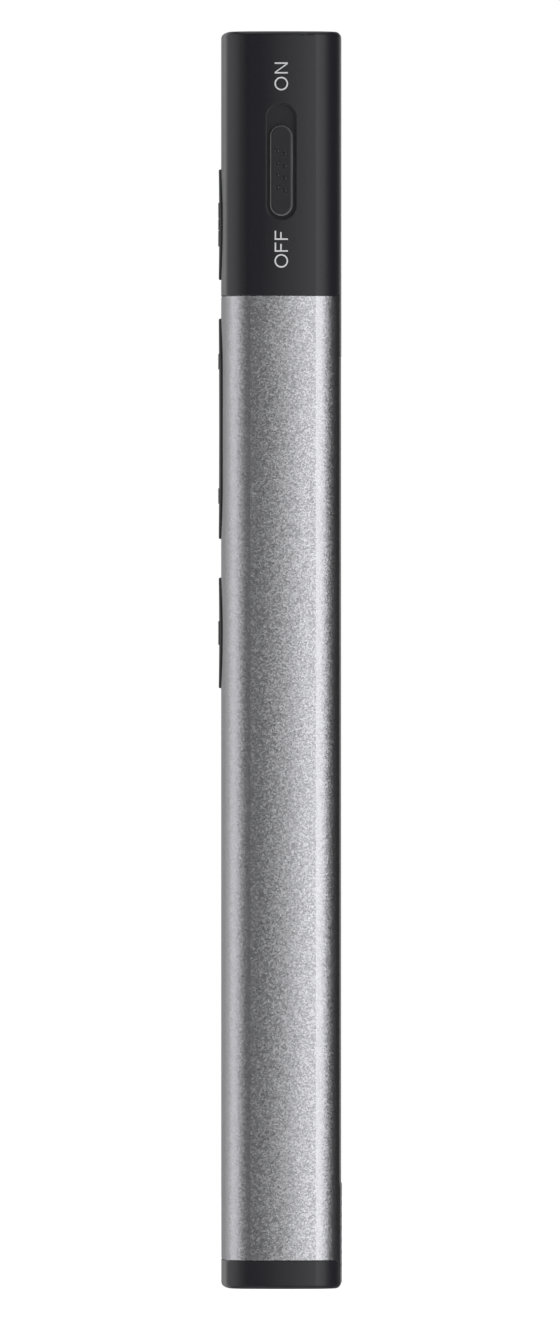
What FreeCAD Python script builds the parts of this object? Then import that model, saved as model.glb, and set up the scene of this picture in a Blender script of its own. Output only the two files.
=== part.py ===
"""Slim handheld presentation remote with a laser pointer: a C-shaped aluminium extrusion closed by two
black plastic end caps and a long black back cover, with three raised rubber key pads on its front.

Frame: millimetres. +Z runs from the tail to the laser end, -Y is the front with the keys, +Y is the back
with the battery cover, and +X is the side with the power switch. The origin is the middle of the flat tail
face. All z values are heights above that face.
"""
import FreeCAD, Part
import math
import os

V = FreeCAD.Vector
os.makedirs("parts", exist_ok=True)

# ---------------------------------------------------------------- driving dimensions: what it holds
CELL_RADIUS = 5.15        # AAA cell
CELL_BODY = 43.7
CELL_NUB = 0.8
CELL_NUB_RADIUS = 1.9
CELL_GAP = 0.1            # around each cell
CELL_SPARE = 0.42         # depth left over for the crown of both faces
SPRING_LENGTH = 4.0       # pressed contact spring
SPRING_RADIUS = 2.6
SPRING_WIRE = 0.28
SPRING_TURNS = 3.0
CONTACT_THICK = 0.4
RECEIVER_WIDTH = 14.6     # USB receiver
RECEIVER_THICK = 6.2
RECEIVER_HEAD = 6.8
PLUG_WIDTH = 12.0
PLUG_THICK = 4.5
PLUG_LENGTH = 12.2
PLUG_WALL = 0.35

# ---------------------------------------------------------------- driving dimensions: walls and outline
SLEEVE_WALL = 1.0         # aluminium wall
CAP_WALL = 1.2            # plastic cap wall
CAP_END_WALL = 1.4        # plastic over the two ends
COVER_WALL = 1.05
COVER_SINK = 0.03         # cover's face below the caps' faces
COVER_GAP = 0.1           # joint around the back cover
BAY_FLOOR = 0.35          # chassis between the cells and the extrusion
SIDE_LIP = 2.8            # extrusion beside the open back
FIT = 0.05                # clearance between plugged or sliding pieces
FRONT_RADIUS = 106.0      # crown of the front face
BACK_RADIUS = 300.0       # crown of the back face
SIDE_RADIUS = 20.0        # crown of both sides
CORNER_RADIUS = 3.3       # the four long corners
END_FILLET = 0.5          # rounding of both ends
SLEEVE_CHAMFER = 0.12     # diamond-cut edge at both ends of the extrusion
CAP_CHAMFER = 0.08        # softened edge of the caps at the joint lines
TAIL_HEIGHT = 3.05        # black tail cap
TAIL_SPIGOT = 4.3         # how far the tail cap plugs into the extrusion
HEAD_SPIGOT = 4.6         # how far the head cap plugs in
SPIGOT_WALL = 0.9
CHASSIS_FOOT = 4.65       # solid foot of the chassis below the cells
HEAD_TONGUE = 6.55        # head cap's tongue down the open back
HEAD_MARGIN = 1.85        # joint line to the laser key
HEAD_ABOVE_KEY = 21.0     # laser key's centre to the laser end

# ---------------------------------------------------------------- driving dimensions: keys
KEY_RADIUS = 6.1          # round keys, and the ends and half width of the rocker
ROCKER_HALF_LENGTH = 12.15
KEY_SPACING = 4.25        # edge to edge
KEY_MARGIN = 3.75         # cell bay to the lowest key's flange
KEY_GAP = 0.12            # gap around a key in its opening
KEY_RISE = 0.27           # rim of a key above the face
KEY_DISH = 0.05           # hollow along the middle of a key
KEY_MARK_RISE = 0.1       # raised symbols above the hollow
KEY_EDGE_FILLET = 0.16
KEY_FLANGE = 0.65         # flange that keeps a key in, beyond its radius
KEY_FLANGE_THICK = 0.5
KEY_TRAVEL = 0.3
KEY_NIB_RADIUS = 1.5
KEY_REST_GAP = 0.02       # between a fully pressed key and its dome
ROCKER_TILT = 1.4         # degrees each way
ROCKER_FLANGE_THICK = 0.4
DOME_OFFSET = 8.0         # switch domes above and below the rocker's middle
DOME_RADIUS = 2.5
DOME_RISE = 0.35
DOME_SHEET = 0.12

# ---------------------------------------------------------------- driving dimensions: power switch
SWITCH_FROM_END = 14.3    # laser end to the middle of the recess
SWITCH_Y = 0.0
RECESS_HALF_WIDTH = 1.56
RECESS_HALF_LENGTH = 6.33
RECESS_DEPTH = 0.7
RECESS_EDGE = 0.14
KNOB_HALF_WIDTH = 1.24
KNOB_HALF_LENGTH = 4.96
KNOB_RISE = 0.12          # knob top above the side
KNOB_FILLET = 0.26
SWITCH_TRAVEL = 1.98      # OFF at the tail end of the recess, ON at the laser end
GRIP_DOME_RADIUS = 0.29
GRIP_DOME_RISE = 0.15
GRIP_PITCH = 1.33
GRIP_STAGGER = 0.36
GRIP_COLUMN = 0.4
STEM_HALF_Y = 0.7
STEM_HALF_Z = 1.5

# ---------------------------------------------------------------- driving dimensions: board and laser
BOARD_THICK = 0.8
BOARD_SIDE_MARGIN = 2.7   # board edge to the outer side
BOARD_FOOT_GAP = 1.3
BOARD_HEAD_GAP = 1.8
PLATE_THICK = 1.0         # chassis plate behind the board
BOARD_SCREW_RADIUS = 0.6
BOARD_SCREW_LENGTH = 3.6
BARREL_RADIUS = 3.0
BARREL_LENGTH = 11.2
APERTURE_RADIUS = 1.8
BEZEL_RADIUS = 2.8
BEZEL_DEPTH = 0.6
WINDOW_THICK = 0.6
LED_FROM_END = 8.0
LED_PIPE_RADIUS = 0.75
LED_FLANGE_RADIUS = 1.15

# ---------------------------------------------------------------- widths and depths that follow
CELL_X = CELL_RADIUS + CELL_GAP
BAY_HALF_WIDTH = CELL_X + CELL_RADIUS + CELL_GAP
BACK_SLOT_HALF = BAY_HALF_WIDTH + 2 * COVER_GAP
SIDE_X = BACK_SLOT_HALF + SIDE_LIP
CHASSIS_OFFSET = SLEEVE_WALL + 2 * FIT
COVER_INNER = COVER_SINK + COVER_WALL
FLANGE_RADIUS = KEY_RADIUS + KEY_FLANGE


def crown_drop(radius, x):
    """How far a crowned face has fallen away at x."""
    return radius - math.sqrt(radius * radius - x * x)


FLANGE_DROP = crown_drop(FRONT_RADIUS, FLANGE_RADIUS)
TILT = math.tan(math.radians(ROCKER_TILT))
ROCKER_CLEARANCE = (ROCKER_HALF_LENGTH + KEY_FLANGE) * TILT + 0.067
DOME_STACK = KEY_REST_GAP + DOME_RISE
ROUND_KEY_STACK = CAP_WALL + FLANGE_DROP + FIT + KEY_FLANGE_THICK + KEY_TRAVEL + DOME_STACK
ROCKER_STACK = (SLEEVE_WALL + FLANGE_DROP + ROCKER_CLEARANCE + ROCKER_FLANGE_THICK
                + (DOME_OFFSET + KEY_NIB_RADIUS) * TILT + DOME_STACK)
BOARD_DEPTH = max(ROUND_KEY_STACK, ROCKER_STACK)
CELL_DEPTH = CHASSIS_OFFSET + BAY_FLOOR + 2 * CELL_RADIUS + CELL_SPARE + COVER_INNER
RECEIVER_DEPTH = BOARD_DEPTH + BOARD_THICK + PLATE_THICK + RECEIVER_THICK + CELL_SPARE + COVER_INNER
DEPTH = max(CELL_DEPTH, RECEIVER_DEPTH)
BOARD_FRONT = -DEPTH / 2 + BOARD_DEPTH
BOARD_BACK = BOARD_FRONT + BOARD_THICK
BOARD_HALF_WIDTH = SIDE_X - BOARD_SIDE_MARGIN
PLATE_BACK = BOARD_BACK + PLATE_THICK
DOME_FRONT = BOARD_FRONT - DOME_RISE
LASER_Y = (BOARD_BACK + DEPTH / 2 - CAP_WALL) / 2

# ---------------------------------------------------------------- heights that follow
TAIL_SPIGOT_TOP = TAIL_HEIGHT + TAIL_SPIGOT
CHASSIS_BOTTOM = TAIL_SPIGOT_TOP + 0.2
BAY_BOTTOM = CHASSIS_BOTTOM + CHASSIS_FOOT
BRIDGE_TOP = BAY_BOTTOM + CONTACT_THICK
LEFT_CELL_BOTTOM = BRIDGE_TOP + SPRING_LENGTH
RIGHT_CELL_BOTTOM = BRIDGE_TOP + CELL_NUB
UPPER_PLATE = LEFT_CELL_BOTTOM + CELL_BODY + CELL_NUB
BAY_TOP = UPPER_PLATE + CONTACT_THICK
BLANK_KEY_Z = BAY_TOP + KEY_MARGIN + FLANGE_RADIUS
KEY_PITCH = ROCKER_HALF_LENGTH + KEY_RADIUS + KEY_SPACING
ROCKER_Z = BLANK_KEY_Z + KEY_PITCH
LASER_KEY_Z = ROCKER_Z + KEY_PITCH
HEAD_Z = LASER_KEY_Z - KEY_RADIUS - HEAD_MARGIN
LENGTH = LASER_KEY_Z + HEAD_ABOVE_KEY
SPIGOT_BOTTOM = HEAD_Z - HEAD_SPIGOT
CHASSIS_TOP = SPIGOT_BOTTOM - 0.2
TONGUE_BOTTOM = HEAD_Z - HEAD_TONGUE
BOARD_BOTTOM = BAY_TOP + BOARD_FOOT_GAP
BOARD_TOP = LENGTH - CAP_END_WALL - BOARD_HEAD_GAP
LED_Z = LENGTH - LED_FROM_END
SWITCH_Z = LENGTH - SWITCH_FROM_END
KNOB_OFF_Z = SWITCH_Z - SWITCH_TRAVEL / 2
BARREL_TOP = LENGTH - CAP_END_WALL - WINDOW_THICK - 0.15
BARREL_BOTTOM = BARREL_TOP - BARREL_LENGTH
FAR = 4 * DEPTH           # past everything across the object


def export(name, shape):
    """Writes one sub-part, as one solid or a compound of separate solids."""
    solids = shape.Solids
    clean = solids[0] if len(solids) == 1 else Part.makeCompound(solids)
    clean.exportStep(f"parts/{name}.step")
    print(f"{name:24s} solids {len(solids)} volume {clean.Volume:9.3f} valid {clean.isValid()}")


# ---------------------------------------------------------------- plain shapes
def box(x0, x1, y0, y1, z0, z1):
    return Part.makeBox(x1 - x0, y1 - y0, z1 - z0, V(x0, y0, z0))


def rod_x(radius, x0, x1, y, z):
    return Part.makeCylinder(radius, x1 - x0, V(x0, y, z), V(1, 0, 0))


def rod_y(radius, y0, y1, x, z):
    return Part.makeCylinder(radius, y1 - y0, V(x, y0, z), V(0, 1, 0))


def rod_z(radius, z0, z1, x, y):
    return Part.makeCylinder(radius, z1 - z0, V(x, y, z0), V(0, 0, 1))


def stadium_wire(half_width, half_length, to_point):
    """Outline with half-round ends, long along its second axis; to_point places (across, along)."""
    run = half_length - half_width
    corners = [(-half_width, -run), (-half_width, run), (half_width, run), (half_width, -run)]
    left_low, left_high, right_high, right_low = [to_point(*c) for c in corners]
    edges = [
        Part.LineSegment(left_low, left_high).toShape(),
        Part.Arc(left_high, to_point(0, half_length), right_high).toShape(),
        Part.LineSegment(right_high, right_low).toShape(),
        Part.Arc(right_low, to_point(0, -half_length), left_low).toShape(),
    ]
    return Part.Wire(edges)


def stadium_y(half_width, half_length, y0, y1, x, z):
    wire = stadium_wire(half_width, half_length, lambda a, b: V(x + a, y0, z + b))
    return Part.Face(wire).extrude(V(0, y1 - y0, 0))


def stadium_x(half_width, half_length, x0, x1, y, z):
    wire = stadium_wire(half_width, half_length, lambda a, b: V(x0, y + a, z + b))
    return Part.Face(wire).extrude(V(x1 - x0, 0, 0))


def mirrored(shape):
    """The shape and its mirror image across the middle plane X = 0."""
    return shape.fuse(shape.mirror(V(0, 0, 0), V(1, 0, 0)))


def fuse_all(shapes):
    return shapes[0].multiFuse(shapes[1:]).removeSplitter()


def cut_all(shape, tools):
    return shape.cut(Part.makeCompound(tools))


def edges_at(shape, axis, value):
    """Edges that lie wholly in the plane axis = value."""
    found = []
    for edge in shape.Edges:
        bounds = edge.BoundBox
        ends = [getattr(bounds, axis + "Min"), getattr(bounds, axis + "Max")]
        if all(abs(e - value) < 1e-4 for e in ends):
            found.append(edge)
    return found


def edges_along(shape, axis):
    """Straight edges that run along one axis."""
    others = [a for a in "XYZ" if a != axis]
    return [e for e in shape.Edges if all(getattr(e.BoundBox, a + "Length") < 1e-4 for a in others)]


# ---------------------------------------------------------------- cross-section
def corner_centre(face_radius, face_centre_y, toward):
    """Centre of the corner arc that meets a crowned face and the crowned side smoothly."""
    side_centre_x = SIDE_X - SIDE_RADIUS
    a = face_radius - CORNER_RADIUS
    b = SIDE_RADIUS - CORNER_RADIUS
    dx, dy = side_centre_x, -face_centre_y
    gap = math.hypot(dx, dy)
    along = (a * a - b * b + gap * gap) / (2 * gap)
    off = math.sqrt(a * a - along * along)
    ux, uy = dx / gap, dy / gap
    picks = [(along * ux - s * off * uy, face_centre_y + along * uy + s * off * ux) for s in (1, -1)]
    return max(picks, key=lambda p: toward * p[1])


def on_line(centre, through, radius):
    """The point at a radius from one centre, in the direction of another point."""
    dx, dy = through[0] - centre[0], through[1] - centre[1]
    size = math.hypot(dx, dy)
    return (centre[0] + dx / size * radius, centre[1] + dy / size * radius)


FRONT_CENTRE = (0.0, -DEPTH / 2 + FRONT_RADIUS)
BACK_CENTRE = (0.0, DEPTH / 2 - BACK_RADIUS)
SIDE_CENTRE = (SIDE_X - SIDE_RADIUS, 0.0)
FRONT_CORNER = corner_centre(FRONT_RADIUS, FRONT_CENTRE[1], -1)
BACK_CORNER = corner_centre(BACK_RADIUS, BACK_CENTRE[1], 1)


def section_wire(offset, z):
    """Closed outline of the body, drawn in by offset (or out, where it is negative)."""
    corner = CORNER_RADIUS - offset

    def arc_points(face_centre, face_radius, corner_at):
        on_face = on_line(face_centre, corner_at, face_radius - offset)
        on_side = on_line(SIDE_CENTRE, corner_at, SIDE_RADIUS - offset)
        toward = ((on_face[0] + on_side[0]) / 2, (on_face[1] + on_side[1]) / 2)
        return on_face, on_line(corner_at, toward, corner), on_side

    f0, f1, f2 = arc_points(FRONT_CENTRE, FRONT_RADIUS, FRONT_CORNER)
    b0, b1, b2 = arc_points(BACK_CENTRE, BACK_RADIUS, BACK_CORNER)

    def right(p):
        return V(p[0], p[1], z)

    def left(p):
        return V(-p[0], p[1], z)

    front, back = V(0, -DEPTH / 2 + offset, z), V(0, DEPTH / 2 - offset, z)
    side_right, side_left = V(SIDE_X - offset, 0, z), V(-SIDE_X + offset, 0, z)
    runs = [
        (left(f0), front, right(f0)), (right(f0), right(f1), right(f2)), (right(f2), side_right, right(b2)),
        (right(b2), right(b1), right(b0)), (right(b0), back, left(b0)), (left(b0), left(b1), left(b2)),
        (left(b2), side_left, left(f2)), (left(f2), left(f1), left(f0)),
    ]
    return Part.Wire([Part.Arc(*run).toShape() for run in runs])


def prism(offset, z0, z1):
    return Part.Face(section_wire(offset, z0)).extrude(V(0, 0, z1 - z0))


def front_face_y(x, offset=0.0):
    """Y of the crowned front at x, drawn in by offset."""
    return -DEPTH / 2 + offset + crown_drop(FRONT_RADIUS - offset, x)


def back_face_y(x, offset=0.0):
    return DEPTH / 2 - offset - crown_drop(BACK_RADIUS - offset, x)


# ---------------------------------------------------------------- extruded aluminium body
def body_sleeve():
    outer = prism(0, TAIL_HEIGHT, HEAD_Z)
    ends = edges_at(outer, "Z", TAIL_HEIGHT) + edges_at(outer, "Z", HEAD_Z)
    outer = outer.makeChamfer(SLEEVE_CHAMFER, ends)
    hollow = prism(SLEEVE_WALL, TAIL_HEIGHT - 1, HEAD_Z + 1)
    back_slot = box(-BACK_SLOT_HALF, BACK_SLOT_HALF, 0, FAR, TAIL_HEIGHT - 1, HEAD_Z + 1)
    rocker_hole = stadium_y(KEY_RADIUS + KEY_GAP, ROCKER_HALF_LENGTH + KEY_GAP, -FAR, 0, 0, ROCKER_Z)
    blank_hole = rod_y(KEY_RADIUS + KEY_GAP, -FAR, 0, 0, BLANK_KEY_Z)
    return cut_all(outer, [hollow, back_slot, rocker_hole, blank_hole])


# ---------------------------------------------------------------- caps
SPIGOT_OUTER = SLEEVE_WALL + FIT
SPIGOT_INNER = SPIGOT_OUTER + SPIGOT_WALL
SNAP_HALF_Y = 1.9
SNAP_BOTTOM = SPIGOT_BOTTOM + 1.3
SNAP_TOP = SNAP_BOTTOM + 1.8
RIB_HEIGHTS = (BARREL_BOTTOM + 1.15, BARREL_BOTTOM + 7.15)
RIB_THICK = 1.2
RIB_HALF_WIDTH = BARREL_RADIUS + 1.0
RECESS_FLOOR_X = SIDE_X - RECESS_DEPTH
SLOT_HALF_Y = STEM_HALF_Y + 0.1
SLOT_HALF_Z = STEM_HALF_Z + SWITCH_TRAVEL / 2 + 0.15


def ring(outer, z0, z1):
    """Band that follows the outline, from the offset outer in to the inside of the spigots."""
    return prism(outer, z0, z1).cut(prism(SPIGOT_INNER, z0 - 1, z1 + 1))


def switch_recess(shell):
    """Sinks the slide switch's recess into one side and rounds its rim."""
    recess = stadium_x(RECESS_HALF_WIDTH, RECESS_HALF_LENGTH, RECESS_FLOOR_X, FAR, SWITCH_Y, SWITCH_Z)
    shell = shell.cut(recess)
    low, high = SWITCH_Z - RECESS_HALF_LENGTH - 0.1, SWITCH_Z + RECESS_HALF_LENGTH + 0.1
    rim = []
    for edge in shell.Edges:
        bounds = edge.BoundBox
        if bounds.ZMin > low and bounds.ZMax < high and bounds.XMin > SIDE_X - RECESS_DEPTH / 2:
            rim.append(edge)
    return shell.makeFillet(RECESS_EDGE, rim)


def head_cap():
    shell = prism(0, HEAD_Z, LENGTH)
    shell = shell.makeFillet(END_FILLET, edges_at(shell, "Z", LENGTH))
    shell = shell.makeChamfer(CAP_CHAMFER, edges_at(shell, "Z", HEAD_Z))
    shell = switch_recess(shell)
    shell = shell.cut(prism(CAP_WALL, HEAD_Z - 1, LENGTH - CAP_END_WALL))

    seat = 1.5
    spigot = ring(SPIGOT_OUTER, SPIGOT_BOTTOM, HEAD_Z).fuse(ring(CAP_WALL - 0.15, HEAD_Z, HEAD_Z + seat))
    key_relief = box(-FLANGE_RADIUS - 1.4, FLANGE_RADIUS + 1.4, -FAR, 0, SPIGOT_BOTTOM - 1, HEAD_Z + seat + 1)
    hook_relief = box(-BACK_SLOT_HALF, BACK_SLOT_HALF, 0, FAR, SPIGOT_BOTTOM - 1, HEAD_Z)
    snap_window = box(-FAR, FAR, -SNAP_HALF_Y, SNAP_HALF_Y, SNAP_BOTTOM, SNAP_TOP)
    spigot = cut_all(spigot, [key_relief, hook_relief, snap_window])

    half = BACK_SLOT_HALF - COVER_GAP
    tongue = prism(0, TONGUE_BOTTOM, HEAD_Z + 0.3).cut(prism(COVER_INNER, TONGUE_BOTTOM - 1, HEAD_Z + 1))
    tongue = tongue.common(box(-half, half, 0, FAR, TONGUE_BOTTOM, HEAD_Z + 0.3))

    rib_back = back_face_y(RIB_HALF_WIDTH, CAP_WALL / 2)
    ribs = [box(-RIB_HALF_WIDTH, RIB_HALF_WIDTH, BOARD_BACK + 1.4, rib_back, z, z + RIB_THICK) for z in RIB_HEIGHTS]
    body = fuse_all([shell, spigot, tongue] + ribs)

    barrel_hole = rod_z(BARREL_RADIUS, RIB_HEIGHTS[0] - 1, RIB_HEIGHTS[1] + 2, 0, LASER_Y)
    key_hole = rod_y(KEY_RADIUS + KEY_GAP, -FAR, 0, 0, LASER_KEY_Z)
    stem_slot = box(RECESS_FLOOR_X - 2, FAR, SWITCH_Y - SLOT_HALF_Y, SWITCH_Y + SLOT_HALF_Y,
                    SWITCH_Z - SLOT_HALF_Z, SWITCH_Z + SLOT_HALF_Z)
    aperture = rod_z(APERTURE_RADIUS, LENGTH - 3, LENGTH + 1, 0, LASER_Y)
    bezel_seat = rod_z(BEZEL_RADIUS, LENGTH - BEZEL_DEPTH, LENGTH + 1, 0, LASER_Y)
    led_hole = rod_y(LED_PIPE_RADIUS + FIT, -FAR, 0, 0, LED_Z)
    return cut_all(body, [barrel_hole, key_hole, stem_slot, aperture, bezel_seat, led_hole])


TAIL_SCREW_X = SIDE_X - 4.5
TAIL_BOSS_RADIUS = 2.2
TAIL_HEAD_RADIUS = 1.45
TAIL_HEAD_RECESS = 0.25
TAIL_HEAD_SEAT = 1.2
TAIL_SHANK_RADIUS = 0.8
TAIL_SCREW_TIP = BAY_BOTTOM - 0.8
COVER_BOTTOM = END_FILLET


def tail_cap():
    shell = prism(0, 0, TAIL_HEIGHT)
    shell = shell.makeFillet(END_FILLET, edges_at(shell, "Z", 0))
    shell = shell.makeChamfer(CAP_CHAMFER, edges_at(shell, "Z", TAIL_HEIGHT))
    shell = shell.cut(prism(CAP_WALL, CAP_END_WALL, TAIL_HEIGHT + 1))
    floor = CAP_END_WALL - 0.2
    bosses = mirrored(rod_z(TAIL_BOSS_RADIUS, floor, TAIL_SPIGOT_TOP, TAIL_SCREW_X, 0))
    rib = box(-0.5, 0.5, front_face_y(0, SPIGOT_INNER - 0.2), back_face_y(0, SPIGOT_INNER - 0.2),
              floor, TAIL_SPIGOT_TOP)
    body = fuse_all([shell, ring(SPIGOT_OUTER, floor, TAIL_SPIGOT_TOP), bosses, rib])
    notch = box(-BACK_SLOT_HALF, BACK_SLOT_HALF, 0, FAR, COVER_BOTTOM - COVER_GAP, TAIL_SPIGOT_TOP + 1)
    notch = notch.cut(prism(COVER_INNER + COVER_GAP, -1, TAIL_SPIGOT_TOP + 2))
    holes = mirrored(rod_z(TAIL_SHANK_RADIUS + 0.1, -1, FAR, TAIL_SCREW_X, 0))
    seats = mirrored(rod_z(TAIL_HEAD_RADIUS + 0.1, -1, TAIL_HEAD_SEAT, TAIL_SCREW_X, 0))
    return cut_all(body, [notch, holes, seats])


def tail_screws():
    head = rod_z(TAIL_HEAD_RADIUS, TAIL_HEAD_RECESS, TAIL_HEAD_SEAT, TAIL_SCREW_X, 0)
    head = head.makeFillet(0.2, edges_at(head, "Z", TAIL_HEAD_RECESS))
    screw = head.fuse(rod_z(TAIL_SHANK_RADIUS, TAIL_HEAD_SEAT, TAIL_SCREW_TIP, TAIL_SCREW_X, 0)).removeSplitter()
    reach, half, deep = 0.85, 0.17, TAIL_HEAD_RECESS + 0.5
    slots = [box(TAIL_SCREW_X - a, TAIL_SCREW_X + a, -b, b, 0, deep) for a, b in ((reach, half), (half, reach))]
    return mirrored(cut_all(screw, slots))


# ---------------------------------------------------------------- back cover
COVER_HALF = BACK_SLOT_HALF - COVER_GAP
COVER_TOP = TONGUE_BOTTOM - COVER_GAP
GRIP_PROUD = 0.09         # thumb grip above the cover's face
GRIP_HEIGHT = 10.9
GRIP_HALF_WIDTH = 7.6
GRIP_MIDDLE = 2.4         # half width of the plain strip between the two groups of grooves
GROOVES = 6
GROOVE_PITCH = 1.35
GROOVE_RADIUS = 0.42
GROOVE_DEPTH = 0.16
HOOK_X = (4.0, 7.0)
HOOK_THICK = 0.8
HOOK_REACH = 2.2
HOOK_BACK = back_face_y(HOOK_X[1], COVER_INNER) - 0.26
HOOK_FRONT = HOOK_BACK - HOOK_THICK
FOAM_HALF_WIDTH = 1.4
FOAM_FRONT_GAP = 0.3


def battery_cover():
    panel = prism(COVER_SINK, COVER_BOTTOM, COVER_TOP)
    grip_top = COVER_BOTTOM + GRIP_HEIGHT
    grip = prism(COVER_SINK - GRIP_PROUD, COVER_BOTTOM, grip_top)
    grip = grip.makeChamfer(GRIP_PROUD, edges_at(grip, "Z", grip_top))
    shell = panel.fuse(grip).cut(prism(COVER_INNER, COVER_BOTTOM - 1, COVER_TOP + 1))
    shell = shell.common(box(-COVER_HALF, COVER_HALF, 0, FAR, COVER_BOTTOM, COVER_TOP))
    root_y = back_face_y(HOOK_X[1], COVER_INNER - 0.3)
    root = box(*HOOK_X, HOOK_FRONT, root_y, COVER_TOP - HOOK_REACH, COVER_TOP)
    tip = box(*HOOK_X, HOOK_FRONT, HOOK_BACK, COVER_TOP, COVER_TOP + HOOK_REACH)
    tip = tip.makeChamfer(0.3, edges_at(tip, "Z", COVER_TOP + HOOK_REACH))
    cover = fuse_all([shell, mirrored(root), mirrored(tip)])
    groove_y = back_face_y(0, COVER_SINK - GRIP_PROUD) + GROOVE_RADIUS - GROOVE_DEPTH
    first = COVER_BOTTOM + 2.0
    grooves = [mirrored(rod_x(GROOVE_RADIUS, GRIP_MIDDLE, GRIP_HALF_WIDTH, groove_y, first + i * GROOVE_PITCH))
               for i in range(GROOVES)]
    return cut_all(cover, grooves)


def cover_foam_pad():
    """Strip that presses between the two cells."""
    cell_back = CELL_Y + math.sqrt(CELL_RADIUS ** 2 - (CELL_X - FOAM_HALF_WIDTH) ** 2)
    z0, z1 = LEFT_CELL_BOTTOM + 4, LEFT_CELL_BOTTOM + CELL_BODY - 4
    pad = box(-FOAM_HALF_WIDTH, FOAM_HALF_WIDTH, cell_back + FOAM_FRONT_GAP, FAR, z0, z1)
    return pad.common(prism(COVER_INNER, z0 - 1, z1 + 1))


# ---------------------------------------------------------------- inner frame
ARM_OUTER_X = SIDE_X - SPIGOT_INNER - 0.15
ARM_THICK = 2.1
ARM_HALF_Y = 1.5
NOSE_REACH = 0.65
LOWER_SCREW_Z = BLANK_KEY_Z + (KEY_PITCH + KEY_RADIUS - ROCKER_HALF_LENGTH) / 2
UPPER_SCREW_Z = ROCKER_Z + (KEY_PITCH + ROCKER_HALF_LENGTH - KEY_RADIUS) / 2
BOARD_SCREWS = ((BOARD_HALF_WIDTH - 2.6, LOWER_SCREW_Z), (-BOARD_HALF_WIDTH + 2.6, LOWER_SCREW_Z),
                (0.0, UPPER_SCREW_Z))
RECEIVER_LOW = BAY_TOP + 5.0
PLUG_LOW = RECEIVER_LOW + RECEIVER_HEAD
RECEIVER_Y = PLATE_BACK + RECEIVER_THICK / 2
RECEIVER_GAP = 0.2
LEAD_RADIUS = 0.35
LEAD_DROP = 3.6
SPINE_HALF = 1.5
SPINE_TOP = BARREL_BOTTOM - 0.8 - LEAD_DROP - LEAD_RADIUS - 0.7


def receiver_pockets():
    """Hollows behind the board for the stored receiver's head and plug."""
    head_half, plug_half = RECEIVER_WIDTH / 2 + RECEIVER_GAP, PLUG_WIDTH / 2 + RECEIVER_GAP
    low, plug_top = RECEIVER_LOW - RECEIVER_GAP, PLUG_LOW + PLUG_LENGTH + RECEIVER_GAP
    head = box(-head_half, head_half, PLATE_BACK, FAR, low, PLUG_LOW + RECEIVER_GAP)
    return [head, box(-plug_half, plug_half, PLATE_BACK, FAR, low, plug_top)]


def cored_pockets():
    """Four hollows with ribs between them, above the receiver."""
    low, high = PLUG_LOW + PLUG_LENGTH + 1.6, CHASSIS_TOP - 1.4
    middle = (low + high) / 2
    spans = ((low, middle - 0.5), (middle + 0.5, high))
    return [mirrored(box(0.6, SIDE_X - 4.1, PLATE_BACK, FAR, z0, z1)) for z0, z1 in spans]


def chassis():
    frame = prism(CHASSIS_OFFSET, CHASSIS_BOTTOM, CHASSIS_TOP)
    bay = prism(CHASSIS_OFFSET + BAY_FLOOR, BAY_BOTTOM, BAY_TOP)
    bay = bay.common(box(-BAY_HALF_WIDTH, BAY_HALF_WIDTH, -FAR, 1, BAY_BOTTOM, BAY_TOP))
    bay_back = box(-BAY_HALF_WIDTH, BAY_HALF_WIDTH, 0, FAR, BAY_BOTTOM, BAY_TOP)
    board_space = box(-FAR, FAR, -FAR, BOARD_BACK, BAY_TOP, CHASSIS_TOP + 1)
    foot_half = TAIL_SCREW_X - 2.5
    foot_hollow = box(-foot_half, foot_half, -DEPTH / 2 + 2.4, FAR, CHASSIS_BOTTOM - 1, CHASSIS_BOTTOM + 2.6)
    hook_path = mirrored(box(HOOK_X[0] - 0.4, HOOK_X[1] + 0.4, PLATE_BACK + 3, FAR,
                             COVER_TOP - HOOK_REACH - 2, CHASSIS_TOP + 1))
    pilots = mirrored(rod_z(TAIL_SHANK_RADIUS, CHASSIS_BOTTOM - 1, TAIL_SCREW_TIP, TAIL_SCREW_X, 0))
    cover_space = box(-BACK_SLOT_HALF, BACK_SLOT_HALF, 0, FAR, 0, CHASSIS_TOP + 1)
    cover_space = cover_space.cut(prism(COVER_INNER + COVER_GAP, -1, CHASSIS_TOP + 2))
    hollows = [bay, bay_back, board_space, foot_hollow, hook_path, pilots, cover_space]
    frame = cut_all(frame, hollows + receiver_pockets() + cored_pockets())

    spine_back = LASER_Y + 1.4
    spine = box(-SPINE_HALF, SPINE_HALF, BOARD_BACK, spine_back, CHASSIS_TOP - 1.5, SPINE_TOP)
    arm = box(ARM_OUTER_X - ARM_THICK, ARM_OUTER_X, -ARM_HALF_Y, ARM_HALF_Y, CHASSIS_TOP - 1, SNAP_TOP + 1.2)
    nose_x = ARM_OUTER_X + NOSE_REACH
    nose = box(ARM_OUTER_X - 0.2, nose_x, -ARM_HALF_Y + 0.1, ARM_HALF_Y - 0.1, SNAP_BOTTOM + 0.15, SNAP_TOP - 0.15)
    tips = [e for e in edges_at(nose, "X", nose_x) if e.BoundBox.ZLength < 1e-4]
    nose = nose.makeChamfer(0.35, tips)
    frame = fuse_all([frame, spine, mirrored(arm), mirrored(nose)])
    screw_holes = [rod_y(BOARD_SCREW_RADIUS, -FAR, BOARD_FRONT + BOARD_SCREW_LENGTH, x, z) for x, z in BOARD_SCREWS]
    return cut_all(frame, screw_holes)


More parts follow.
